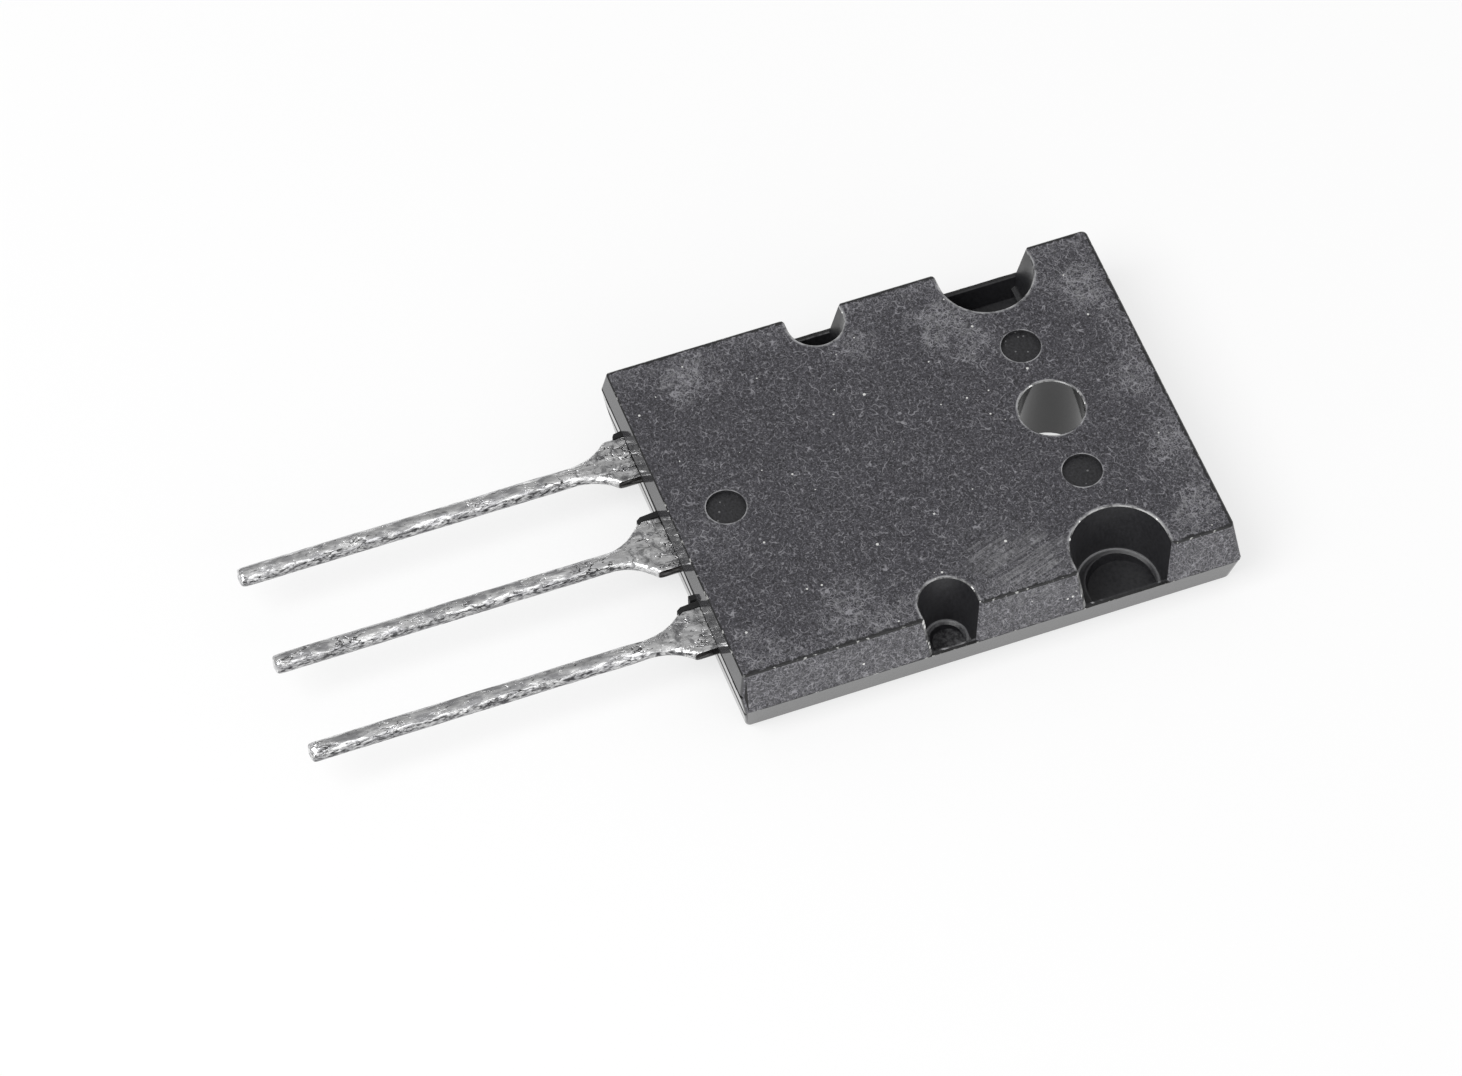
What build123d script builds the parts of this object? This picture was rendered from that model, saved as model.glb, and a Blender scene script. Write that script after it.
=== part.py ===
from build123d import *
import math
import os

# Power transistor in a flat screw-down plastic package with three leads.
# Millimetres. Origin on the screw-hole axis at the bare back of the heat spreader.
# +Z out of the marked face, +Y to the screw-hole end, leads run to -Y.

os.makedirs("parts", exist_ok=True)

# body outline at the two mould partings
BODY_W = 20.3
BODY_L = 26.1
BODY_T = 4.8
HOLE_TO_END = 6.08
BACK_Z = 0.0               # plastic back, flush with the spreader's bare face
PART_Z = 2.3               # parting height on the two long sides and the hole end
TOP_INSET_X = 0.45         # each long side, face outline inside the parting outline
TOP_INSET_END = 0.38       # hole end, the same
LOW_INSET_X = 0.75         # each long side, back outline inside the parting outline
LOW_INSET_END = 0.12       # hole end, the same
LEAD_TOP_INSET = 0.20      # lead end, face edge inside the lead-plane parting
LEAD_LOW_INSET = 0.50      # lead end, back edge inside the lead-plane parting
CORNER_TOP = 0.30
CORNER_PART = 0.35
CORNER_BACK = 0.45
LEAD_CORNER = 0.55         # corners of the lead end, as a share of the others
FACE_EDGE = 0.06           # broken edge round the marked face
BACK_EDGE = 0.15           # broken edge round the plastic back
SEAM_H = 0.08              # open seam where the two mould halves meet above the leads
SEAM_D = 0.09
VENT_W = 0.62              # short vent pit on the lead-end seam, near each corner
VENT_H = 0.22
VENT_IN = 1.15             # pit centre in from the long side
OVER = 0.1                 # cutters run this far past the face they cut

# leads
PITCH = 5.45
LEAD_T = 0.6
LEAD_Z = 2.8               # underside of the leads above the back
LEAD_LEN = 20.3            # outside the body
LEG_W = 0.98
LEG_EDGE = 0.19            # edge rounding left by the tinning
SHOULDER_OUTER = 2.6
SHOULDER_MID = 3.15
SHOULDER_LEN = 1.1
NECK_LEN = 2.2
NECK_ANGLE = 40            # degrees off the lead's axis, where the neck leaves the shoulder

# screw hole, ejector marks and notches
HOLE_D = 3.3
RIM = 0.05
MARK_D = 2.0
MARK_DEPTH = 0.25
MARK_X = 4.05
MARK_FROM_LEAD_END = 2.95
BIG_R = 2.45
BIG_IN = 1.2               # centre of the round end, in from the long side
BIG_Y = 0.0                # level with the screw hole
BIG_NARROW = 0.38          # radius lost between rim and floor
SMALL_R = 1.45
SMALL_IN = 1.1
SMALL_FROM_LEAD_END = 11.0
SMALL_NARROW = 0.37
NOTCH_DEPTH = 3.0          # face to the first step
LIP = 0.25                 # wall left standing along each long side below the parting
MOUTH_R = 0.15             # eased edge where a notch wall meets the long side
STEP_H = 0.12              # sloped ledge at the foot of a notch wall
WELL_R = 1.80              # blind well in the floor of a large notch
WELL_DY = 0.24             # the well is set towards the hole end
WELL_DEPTH = 0.65
SMALL_WELL_R = 0.92
SMALL_WELL_DY = 0.10
SMALL_WELL_DEPTH = 0.45

# heat spreader
PLATE_W = 13.4
PLATE_T = 2.0
PLATE_END_GAP = 1.5        # plate edge in from the body's hole end
PLATE_LEAD_GAP = 3.7       # plate edge in from the body's lead end
PLATE_HOLE_D = 4.9
PLATE_CORNER = 1.0
LOCK = 0.30                # ledge all round that keys the plate into the resin
LOCK_Z0 = 0.75
LOCK_Z1 = 1.45
PIN_D = 1.2
PIN_HEAD_D = 1.9
PIN_HEAD_T = 0.25
PIN_X = 1.35
FOOT_W = 4.8
FOOT_L = 2.3
FOOT_GAP = 0.25            # foot edge in from the plate's lead-side edge
FOOT_CORNER = 0.4
CRANK_RUN = 0.35           # level run between the seam end of the crank and its slope

# die and bond wires
DIE_S = 5.6
DIE_T = 0.28
DIE_FROM_LEAD_END = 11.4
SOLDER_T = 0.07
SOLDER_EDGE = 0.15
PAD_W = 3.9
PAD_L = 2.1
PAD_IN = 3.0               # inner edge of a bonding pad, in from the lead end
PAD_CORNER = 0.3
E_WIRE_D = 0.5
B_WIRE_D = 0.3
E_WIRE_GAP = 1.8           # between the two emitter wires on the pad
WIRE_RISE = 1.45           # middle of the arch above the die
BASE_BOND = 1.7            # base bond, in from the die's centre each way
EMITTER_BOND_X = (0.7, 2.1)
EMITTER_BOND_Y = 0.9

END_Y = HOLE_TO_END
LEAD_Y = HOLE_TO_END - BODY_L
LEAD_TOP = LEAD_Z + LEAD_T
TIP_Y = LEAD_Y - LEAD_LEN
MARK_FAR_Y = LEAD_Y + MARK_FROM_LEAD_END
FACE_HALF_W = BODY_W / 2 - TOP_INSET_X
BIG_X = BODY_W / 2 - BIG_IN
SMALL_X = BODY_W / 2 - SMALL_IN
SMALL_Y = LEAD_Y + SMALL_FROM_LEAD_END
NOTCH_FLOOR_Z = BODY_T - NOTCH_DEPTH
PLATE_TAB_Y = END_Y - PLATE_END_GAP
PLATE_LEAD_Y = LEAD_Y + PLATE_LEAD_GAP
DIE_Y = LEAD_Y + DIE_FROM_LEAD_END
PAD_IN_Y = LEAD_Y + PAD_IN
PAD_MID_Y = PAD_IN_Y - PAD_L / 2
FOOT_Y1 = PLATE_LEAD_Y + FOOT_GAP + FOOT_L
FOOT_Y0 = PLATE_LEAD_Y + FOOT_GAP
DIE_Z = PLATE_T + SOLDER_T
DIE_TOP = DIE_Z + DIE_T


def mix(a, b, t):
    return a + (b - a) * t


def half_width(z):
    # long sides: steep taper under the parting, slight draft above it
    if z < PART_Z:
        return BODY_W / 2 - LOW_INSET_X * (PART_Z - z) / (PART_Z - BACK_Z)
    return BODY_W / 2 - TOP_INSET_X * (z - PART_Z) / (BODY_T - PART_Z)


def end_y(z):
    if z < PART_Z:
        return END_Y - LOW_INSET_END * (PART_Z - z) / (PART_Z - BACK_Z)
    return END_Y - TOP_INSET_END * (z - PART_Z) / (BODY_T - PART_Z)


def lead_y(z):
    # lead end: the mould parts at the top of the leads
    if z < LEAD_TOP:
        return LEAD_Y + LEAD_LOW_INSET * (LEAD_TOP - z) / (LEAD_TOP - BACK_Z)
    return LEAD_Y + LEAD_TOP_INSET * (z - LEAD_TOP) / (BODY_T - LEAD_TOP)


def corner_r(z):
    if z < PART_Z:
        return mix(CORNER_BACK, CORNER_PART, (z - BACK_Z) / (PART_Z - BACK_Z))
    return mix(CORNER_PART, CORNER_TOP, (z - PART_Z) / (BODY_T - PART_Z))


def outline(z, inset=0.0):
    w = 2 * (half_width(z) - inset)
    y0 = lead_y(z) + inset
    y1 = end_y(z) - inset
    sk = Rectangle(w, y1 - y0)
    # the lead end was clamped round the lead frame, so its corners are crisper
    sk = fillet(sk.vertices().group_by(Axis.Y)[-1], corner_r(z))
    sk = fillet(sk.vertices().group_by(Axis.Y)[0], LEAD_CORNER * corner_r(z))
    return Pos(0, (y0 + y1) / 2, z) * sk


def body_block(inset=0.0, top=BODY_T):
    # each level: height, and how far the broken edges pull the outline in there
    levels = [
        (BACK_Z, BACK_EDGE),
        (BACK_Z + BACK_EDGE, 0),
        (PART_Z, 0),
        (LEAD_TOP, 0),
        (BODY_T, 0),
    ]
    levels = [level for level in levels if level[0] <= top]
    block = None
    for (z0, broken0), (z1, broken1) in zip(levels[:-1], levels[1:]):
        slab = loft([outline(z0, inset + broken0), outline(z1, inset + broken1)], ruled=True)
        block = slab if block is None else block + slab
    return block


def face_edge_cut():
    # narrow 45 degree break round the marked face
    z0 = BODY_T - FACE_EDGE
    keep = loft([outline(z0), outline(BODY_T + OVER, FACE_EDGE + OVER)], ruled=True)
    waste = Pos(0, (END_Y + LEAD_Y) / 2, z0) * extrude(Rectangle(BODY_W, BODY_L), FACE_EDGE + OVER)
    return waste - keep


def slot_outline(r, x, z, side):
    # U shape: round inner end on x, straight walls running out through the side
    out = 2 * r
    ring = Pos(x, 0) * Circle(r)
    run = Pos(x + out / 2, 0) * Rectangle(out, 2 * r)
    sk = ring + run
    if side < 0:
        sk = mirror(sk, about=Plane.YZ)
    return Pos(0, 0, z) * sk


def notch_upper(r, narrow, x, y, side):
    # draft of the notch walls from the face down to the parting
    r_part = r - narrow * (BODY_T - PART_Z) / NOTCH_DEPTH
    r_over = r + narrow * OVER / NOTCH_DEPTH
    cut = loft([slot_outline(r_part, x, PART_Z, side), slot_outline(r_over, x, BODY_T + OVER, side)], ruled=True)
    rim = loft([slot_outline(r, x, BODY_T - RIM, side), slot_outline(r + 2 * RIM, x, BODY_T + RIM, side)], ruled=True)
    return Pos(0, y, 0) * (cut + rim)


def notch_lower(r, narrow, x, y, side, inner):
    # the same walls carried below the parting, stopped behind the lip
    r_part = r - narrow * (BODY_T - PART_Z) / NOTCH_DEPTH
    cut = loft(
        [slot_outline(r - narrow, x, NOTCH_FLOOR_Z, side), slot_outline(r_part, x, PART_Z, side)],
        ruled=True,
    )
    return (Pos(0, y, 0) * cut) & inner


def notch_well(r, narrow, x, y, well_r, well_dy, well_depth, side, inner):
    # second step of a notch: sloped ledge at the foot of the wall, then a blind round well
    floor_r = r - narrow
    ledge_z = NOTCH_FLOOR_Z - STEP_H
    ledge = loft(
        [slot_outline(floor_r - 2 * STEP_H, x, ledge_z, side), slot_outline(floor_r - STEP_H / 2, x, NOTCH_FLOOR_Z, side)],
        ruled=True,
    )
    well = loft(
        [slot_outline(well_r - STEP_H, x, NOTCH_FLOOR_Z - well_depth, side), slot_outline(well_r, x, ledge_z, side)],
        ruled=True,
    )
    return (Pos(0, y, 0) * (ledge + Pos(0, well_dy, 0) * well)) & inner


def clipped_rectangle(w, length, corner):
    sk = Rectangle(w, length)
    return chamfer(sk.vertices(), corner)


def lead_blank(shoulder_w, y_in):
    # flat blank seen from above: inner shank, shoulder, concave neck, leg
    hs = shoulder_w / 2
    hl = LEG_W / 2
    y_s = LEAD_Y - SHOULDER_LEN
    y_n = y_s - NECK_LEN
    # neck: straight off the shoulder at NECK_ANGLE, then one arc into the leg
    sn = math.sin(math.radians(NECK_ANGLE))
    cs = math.cos(math.radians(NECK_ANGLE))
    neck_r = (NECK_LEN * sn - (hs - hl) * cs) / (1 - cs)
    with BuildSketch() as sk:
        with BuildLine():
            Line((hs, y_in), (hs, y_s))
            right = JernArc(start=(hl, y_n), tangent=(0, 1), radius=neck_r, arc_size=-NECK_ANGLE)
            Line((hs, y_s), right @ 1)
            Line((hl, y_n), (hl, TIP_Y))
            Line((hl, TIP_Y), (-hl, TIP_Y))
            Line((-hl, TIP_Y), (-hl, y_n))
            left = JernArc(start=(-hl, y_n), tangent=(0, 1), radius=neck_r, arc_size=NECK_ANGLE)
            Line(left @ 1, (-hs, y_s))
            Line((-hs, y_s), (-hs, y_in))
            Line((-hs, y_in), (hs, y_in))
        make_face()
    return sk.sketch


def soften_leg(lead):
    # tinned legs have no sharp edges: round the long edges of leg and neck and the cut tip
    y_s = LEAD_Y - SHOULDER_LEN
    run = []
    for e in lead.edges():
        box = e.bounding_box()
        flat = box.max.Z - box.min.Z < 1e-4
        outside = box.max.Y < y_s + 1e-3
        if flat and outside:
            run.append(e)
    return fillet(run, LEG_EDGE)


def signal_lead(x):
    # base or emitter lead: flat all through, bonding pad at its inner end
    blank = lead_blank(SHOULDER_OUTER, PAD_MID_Y)
    lead = extrude(Pos(0, 0, LEAD_Z) * blank, LEAD_T)
    lead = soften_leg(lead)
    pad = Pos(0, PAD_MID_Y, LEAD_Z) * clipped_rectangle(PAD_W, PAD_L, PAD_CORNER)
    lead = lead + extrude(pad, LEAD_T)
    return Pos(x, 0, 0) * lead


def collector_lead():
    # middle lead: cranked down inside the body to a foot that lies on the heat spreader
    drop = LEAD_Z - PLATE_T
    y_foot = FOOT_Y0 + FOOT_CORNER
    y_slope = FOOT_Y0 - drop / 2
    y_bend = y_slope - drop
    y_in = y_bend - CRANK_RUN
    lead = extrude(Pos(0, 0, LEAD_Z) * lead_blank(SHOULDER_MID, y_in), LEAD_T)
    lead = soften_leg(lead)
    # the bend keeps the strip's thickness: its upper line is set back by the half-angle
    back = LEAD_T * math.tan(math.atan2(drop, y_slope - y_bend) / 2)
    with BuildSketch(Plane.YZ) as side:
        with BuildLine():
            Polyline(
                (y_in, LEAD_Z),
                (y_bend, LEAD_Z),
                (y_slope, PLATE_T),
                (y_foot, PLATE_T),
                (y_foot, PLATE_T + LEAD_T),
                (y_slope + back, PLATE_T + LEAD_T),
                (y_bend + back, LEAD_TOP),
                (y_in, LEAD_TOP),
                close=True,
            )
        make_face()
    crank = extrude(side.sketch, SHOULDER_MID / 2, both=True)
    foot_y = (FOOT_Y0 + FOOT_Y1) / 2
    foot = extrude(Pos(0, foot_y, PLATE_T) * clipped_rectangle(FOOT_W, FOOT_L, FOOT_CORNER), LEAD_T)
    lead = lead + crank + foot
    for x in (-PIN_X, PIN_X):
        lead = lead - Pos(x, foot_y, PLATE_T) * extrude(Circle(PIN_D / 2), LEAD_T)
    return lead


def heat_spreader():
    # copper plate with a keying ledge round its edge, a clearance hole and two staked pins
    mid_y = (PLATE_TAB_Y + PLATE_LEAD_Y) / 2
    length = PLATE_TAB_Y - PLATE_LEAD_Y
    plate = extrude(Pos(0, mid_y) * RectangleRounded(PLATE_W, length, PLATE_CORNER), PLATE_T)
    key = extrude(
        Pos(0, mid_y, LOCK_Z0) * RectangleRounded(PLATE_W + 2 * LOCK, length + 2 * LOCK, PLATE_CORNER + LOCK),
        LOCK_Z1 - LOCK_Z0,
    )
    plate = plate + key
    plate = plate - extrude(Circle(PLATE_HOLE_D / 2), PLATE_T)
    pin_y = (FOOT_Y0 + FOOT_Y1) / 2
    for x in (-PIN_X, PIN_X):
        pin = Pos(x, pin_y, PLATE_T) * extrude(Circle(PIN_D / 2), LEAD_T)
        head = Pos(x, pin_y, PLATE_T + LEAD_T) * extrude(Circle(PIN_HEAD_D / 2), PIN_HEAD_T, taper=25)
        plate = plate + pin + head
    return plate


def die_solder():
    side = DIE_S + 2 * SOLDER_EDGE
    return extrude(Pos(0, DIE_Y, PLATE_T) * Rectangle(side, side), SOLDER_T)


def silicon_die():
    return Pos(0, DIE_Y, DIE_Z + DIE_T / 2) * Box(DIE_S, DIE_S, DIE_T)


def bond_wire(die_xy, pad_xy, d):
    # wedge-bonded wire: flattened foot at each end, one arched span between them
    dx = pad_xy[0] - die_xy[0]
    dy = pad_xy[1] - die_xy[1]
    run = math.hypot(dx, dy)
    ang = math.degrees(math.atan2(dy, dx))
    foot_t = 0.55 * d
    foot_l = 2.4 * d
    foot0 = Pos(0, 0, DIE_TOP + foot_t / 2) * Box(foot_l, 1.3 * d, foot_t)
    foot1 = Pos(run, 0, LEAD_TOP + foot_t / 2) * Box(foot_l, 1.3 * d, foot_t)
    # the round wire leaves each foot with its underside on the bonded surface
    with BuildLine(Plane.XZ) as path:
        ThreePointArc(
            (0, DIE_TOP + d / 2),
            (run / 2, DIE_TOP + WIRE_RISE),
            (run, LEAD_TOP + d / 2),
        )
    # eight flats stand in for the round of a wire that is buried in the resin
    with BuildSketch(Plane(origin=path.line @ 0, z_dir=path.line % 0)) as sec:
        RegularPolygon(d / 2, 8, rotation=22.5)
    span = sweep(sec.sketch, path=path.line)
    wire = span + foot0 + foot1
    return Pos(die_xy[0], die_xy[1], 0) * (Rot(0, 0, ang) * wire)


def resin_slivers():
    # thin fins of resin left against the -X edge of each lead root, and a crumb beside the last one
    root = 0.3
    sizes = [
        (-PITCH, SHOULDER_OUTER, 0.45 * SHOULDER_LEN, root),
        (0.0, SHOULDER_MID, SHOULDER_LEN, root),
        (PITCH, SHOULDER_OUTER, SHOULDER_LEN, root),
    ]
    fins = []
    for x, w, length, thick in sizes:
        x1 = x - w / 2
        pts = [
            (x1 + thick, LEAD_Y + root),
            (x1 - 1.3 * thick, LEAD_Y + root),
            (x1 - 1.1 * thick, LEAD_Y - 0.15 * length),
            (x1 - 0.9 * thick, LEAD_Y - 0.8 * length),
            (x1 - 0.4 * thick, LEAD_Y - length),
            (x1 + thick, LEAD_Y - length),
        ]
        with BuildSketch(Plane.XY.offset(LEAD_Z)) as sk:
            with BuildLine():
                Polyline(*pts, close=True)
            make_face()
        fins.append(extrude(sk.sketch, LEAD_T))
    crumb = Pos(PITCH - SHOULDER_OUTER / 2 - 2 * root, LEAD_Y, LEAD_Z + LEAD_T / 2) * Box(root, 2 * root, LEAD_T)
    fins.append(crumb)
    return fins


def seam_cuts():
    # open seam across the lead end at the top of the leads, and one vent pit near each corner
    cuts = [Pos(0, LEAD_Y, LEAD_TOP + SEAM_H / 2) * Box(BODY_W, 2 * SEAM_D, SEAM_H)]
    for x in (VENT_IN - BODY_W / 2, BODY_W / 2 - VENT_IN):
        cuts.append(Pos(x, LEAD_Y, LEAD_TOP - VENT_H / 2) * Box(VENT_W, VENT_H * 2, VENT_H))
    return cuts


def ease_mouths(body):
    # eased vertical edges where the notch walls run out through the long sides
    picked = []
    for e in body.edges():
        box = e.bounding_box()
        tall = box.max.Z - box.min.Z > 0.6 * (BODY_T - PART_Z)
        upper = box.min.Z > PART_Z - 0.05
        mid = (box.min + box.max) / 2
        out = abs(mid.X) > FACE_HALF_W - 0.1
        in_big = abs(mid.Y - BIG_Y) < BIG_R + 0.2
        in_small = abs(mid.Y - SMALL_Y) < SMALL_R + 0.2
        if tall and upper and out and (in_big or in_small):
            picked.append(e)
    return chamfer(picked, MOUTH_R)


def moulded_body(filled):
    body = body_block()
    inner = body_block(inset=LIP, top=PART_Z)
    for side in (1, -1):
        body = body - notch_upper(BIG_R, BIG_NARROW, BIG_X, BIG_Y, side)
        body = body - notch_upper(SMALL_R, SMALL_NARROW, SMALL_X, SMALL_Y, side)
    body = ease_mouths(body)
    body = body - face_edge_cut()
    for side in (1, -1):
        body = body - notch_lower(BIG_R, BIG_NARROW, BIG_X, BIG_Y, side, inner)
        body = body - notch_lower(SMALL_R, SMALL_NARROW, SMALL_X, SMALL_Y, side, inner)
        body = body - notch_well(BIG_R, BIG_NARROW, BIG_X, BIG_Y, WELL_R, WELL_DY, WELL_DEPTH, side, inner)
        body = body - notch_well(
            SMALL_R, SMALL_NARROW, SMALL_X, SMALL_Y, SMALL_WELL_R, SMALL_WELL_DY, SMALL_WELL_DEPTH, side, inner
        )
    body = body - extrude(Circle(HOLE_D / 2), BODY_T + OVER)
    body = body - Pos(0, 0, BODY_T - RIM) * extrude(Circle(HOLE_D / 2), 2 * RIM, taper=-45)
    for x, y in ((-MARK_X, 0), (MARK_X, 0), (0, MARK_FAR_Y)):
        body = body - Pos(x, y, BODY_T - MARK_DEPTH) * extrude(Circle(MARK_D / 2), MARK_DEPTH + OVER)
    for cut in seam_cuts():
        body = body - cut
    for fin in resin_slivers():
        body = body + fin
    for piece in filled:
        body = body - piece
    return body


spreader = heat_spreader()
solder = die_solder()
die = silicon_die()
base = signal_lead(-PITCH)
emitter = signal_lead(PITCH)
collector = collector_lead()
base_wire = bond_wire((-BASE_BOND, DIE_Y - BASE_BOND), (-PITCH + B_WIRE_D, PAD_MID_Y), B_WIRE_D)
emitter_wire_1 = bond_wire(
    (EMITTER_BOND_X[0], DIE_Y + EMITTER_BOND_Y), (PITCH - E_WIRE_GAP / 2, PAD_MID_Y), E_WIRE_D
)
emitter_wire_2 = bond_wire(
    (EMITTER_BOND_X[1], DIE_Y - EMITTER_BOND_Y), (PITCH + E_WIRE_GAP / 2, PAD_MID_Y), E_WIRE_D
)

pieces = {
    "heat_spreader": spreader,
    "die_solder": solder,
    "silicon_die": die,
    "base_lead": base,
    "collector_lead": collector,
    "emitter_lead": emitter,
    "base_bond_wire": base_wire,
    "emitter_bond_wire_1": emitter_wire_1,
    "emitter_bond_wire_2": emitter_wire_2,
}
pieces["moulded_body"] = moulded_body(list(pieces.values()))

for name, shape in pieces.items():
    export_step(shape, f"parts/{name}.step")
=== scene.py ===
import math

import bmesh
import bpy
from mathutils import Matrix, Vector


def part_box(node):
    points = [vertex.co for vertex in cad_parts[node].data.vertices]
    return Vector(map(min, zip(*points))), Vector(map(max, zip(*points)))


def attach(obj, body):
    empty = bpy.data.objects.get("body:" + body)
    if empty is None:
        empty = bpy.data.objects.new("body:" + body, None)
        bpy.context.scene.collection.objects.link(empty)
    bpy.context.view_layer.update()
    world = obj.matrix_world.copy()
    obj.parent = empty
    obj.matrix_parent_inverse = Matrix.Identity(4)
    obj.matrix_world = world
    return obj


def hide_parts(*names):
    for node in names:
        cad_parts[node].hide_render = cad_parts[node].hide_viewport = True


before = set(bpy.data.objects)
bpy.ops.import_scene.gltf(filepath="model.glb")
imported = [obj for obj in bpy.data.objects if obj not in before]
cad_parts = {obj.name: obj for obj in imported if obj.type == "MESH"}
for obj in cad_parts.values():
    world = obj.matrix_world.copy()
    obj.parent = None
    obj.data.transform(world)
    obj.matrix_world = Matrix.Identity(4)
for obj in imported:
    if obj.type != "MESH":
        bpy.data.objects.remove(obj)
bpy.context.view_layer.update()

# ---------------------------------------------------------------------------
# Heat spreader: stamped copper plate moulded into the underside, its bare face
# flush with the resin. Plated dull nickel, and screwed down to a heatsink.
# ---------------------------------------------------------------------------


def linear(code):
    """An sRGB hex colour as linear RGBA."""
    out = []
    for i in (0, 2, 4):
        c = int(code[i : i + 2], 16) / 255
        out.append(c / 12.92 if c <= 0.04045 else ((c + 0.055) / 1.055) ** 2.4)
    return (*out, 1.0)


def add(tree, kind, links=None, **settings):
    """Adds one node: settings are its properties, links its inputs by name or number."""
    node = tree.nodes.new(kind)
    for name, value in settings.items():
        setattr(node, name, value)
    for key, value in (links or {}).items():
        if isinstance(value, bpy.types.Node):
            value = [o for o in value.outputs if o.enabled][0]
        if isinstance(value, bpy.types.NodeSocket):
            tree.links.new(value, node.inputs[key])
        else:
            node.inputs[key].default_value = value
    return node


def finish(name, **constants):
    """A material with one shader. What is the same all over is set on the shader's own sockets."""
    material = bpy.data.materials.new(name)
    material.use_nodes = True
    shader = material.node_tree.nodes["Principled BSDF"]
    for key, value in constants.items():
        shader.inputs[key.replace("_", " ")].default_value = value
    return material, material.node_tree, shader


def millimetres(tree, stretch=(1, 1, 1)):
    """Object coordinates in millimetres, squeezed along the axes where a pattern is drawn out."""
    coord = add(tree, "ShaderNodeTexCoord")
    links = {"Vector": coord.outputs["Object"], "Scale": [1000 * s for s in stretch]}
    return add(tree, "ShaderNodeMapping", links)


def surface(tree, shader, colour, roughness, height, depth_mm):
    """Joins the varying colour, roughness and relief of a finish to its shader."""
    links = {"Height": height, "Distance": depth_mm / 1000}
    relief = add(tree, "ShaderNodeBump", links)
    for node, name in ((colour, "Base Color"), (roughness, "Roughness"), (relief, "Normal")):
        output = [o for o in node.outputs if o.enabled][0]
        tree.links.new(output, shader.inputs[name])


def dress(node, material):
    """Gives a CAD node its finish and leaves its mesh alone."""
    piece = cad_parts[node]
    piece.data.materials.clear()
    piece.data.materials.append(material)


# Dull nickel over rolled copper: a warm grey satin metal with faint rolling lines along the
# strip, 0.1 mm apart, cloudy patches of 2.5 mm from the bath, and a few handling scratches across.
nickel, t, shader = finish("dull_nickel_plate", Metallic=1.0)
cloud = add(t, "ShaderNodeTexNoise", {"Vector": millimetres(t), "Scale": 0.4, "Detail": 6.0})
rolled = add(t, "ShaderNodeTexNoise", {"Vector": millimetres(t, (9, 0.25, 9)), "Detail": 3.0, "Scale": 1.0})
scratch = add(t, "ShaderNodeTexNoise", {"Vector": millimetres(t, (0.3, 16, 1)), "Detail": 2.0, "Scale": 0.6})
score = add(t, "ShaderNodeMapRange", {0: scratch, 1: 0.66, 2: 0.72})
grey = add(t, "ShaderNodeMix", {0: cloud, 6: linear("9B9890"), 7: linear("C2BFB6")}, data_type="RGBA")
grey = add(t, "ShaderNodeMix", {0: score, 6: grey, 7: linear("DAD7CF")}, data_type="RGBA")
dull = add(t, "ShaderNodeMapRange", {0: cloud, 1: 0.3, 2: 0.7, 3: 0.28, 4: 0.5})
relief = add(t, "ShaderNodeMath", {0: rolled, 1: score}, operation="SUBTRACT")
surface(t, shader, grey, dull, relief, 0.012)
dress("heat_spreader", nickel)

# ---------------------------------------------------------------------------
# Die solder: a thin square of soft solder that reflows under the chip and
# joins it to the heat spreader. It squeezes out a little past the chip's edge.
# ---------------------------------------------------------------------------

# Reflowed soft solder: mid grey, half bright, with slight wrinkles of 0.25 mm where it froze.
solder, t, shader = finish("soft_solder", Metallic=1.0)
wrinkle = add(t, "ShaderNodeTexNoise", {"Vector": millimetres(t), "Scale": 4.0, "Detail": 5.0})
grey = add(t, "ShaderNodeMix", {0: wrinkle, 6: linear("87878A"), 7: linear("B4B4B6")}, data_type="RGBA")
dull = add(t, "ShaderNodeMapRange", {0: wrinkle, 3: 0.25, 4: 0.55})
surface(t, shader, grey, dull, wrinkle, 0.02)
dress("die_solder", solder)

# ---------------------------------------------------------------------------
# Silicon die: the chip itself, 5.6 mm square, soldered flat on the spreader.
# Its top carries an aluminium pattern of fingers between emitter and base.
# ---------------------------------------------------------------------------

# Polished silicon under an aluminium film: dark blue-grey gaps between pale metal fingers.
# The real gaps are hundredths of a millimetre wide; here they are 0.1 mm, so that they show.
chip, t, shader = finish("metallised_silicon", Metallic=1.0)
fingers = add(t, "ShaderNodeTexBrick",
              {"Vector": millimetres(t), "Color1": linear("B9BCC0"), "Color2": linear("A9ADB3"),
               "Mortar": linear("2E3440"), "Scale": 1.0, "Mortar Size": 0.05, "Brick Width": 2.4,
               "Row Height": 0.45})
haze = add(t, "ShaderNodeTexNoise", {"Vector": millimetres(t), "Scale": 6.0, "Detail": 3.0})
dull = add(t, "ShaderNodeMapRange", {0: haze, 3: 0.1, 4: 0.35})
surface(t, shader, fingers, dull, fingers.outputs["Fac"], -0.004)
dress("silicon_die", chip)

# ---------------------------------------------------------------------------
# Leads: three strips stamped from one copper frame. After moulding they were
# dipped in molten tin, which left soft edges and frozen lumps on the legs; the
# dam bars were cut after that, so the sides of the shoulders are bare and dark.
# ---------------------------------------------------------------------------
shoulder = 1.1                                    # length of a shoulder's bare cut side, mm
cut_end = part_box("moulded_body")[0].y * 1000      # where the cut sides stop, and the fins of resin
body_end = cut_end + shoulder                     # lead end of the body itself
leg_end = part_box("collector_lead")[0].y * 1000    # tips of the legs

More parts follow.
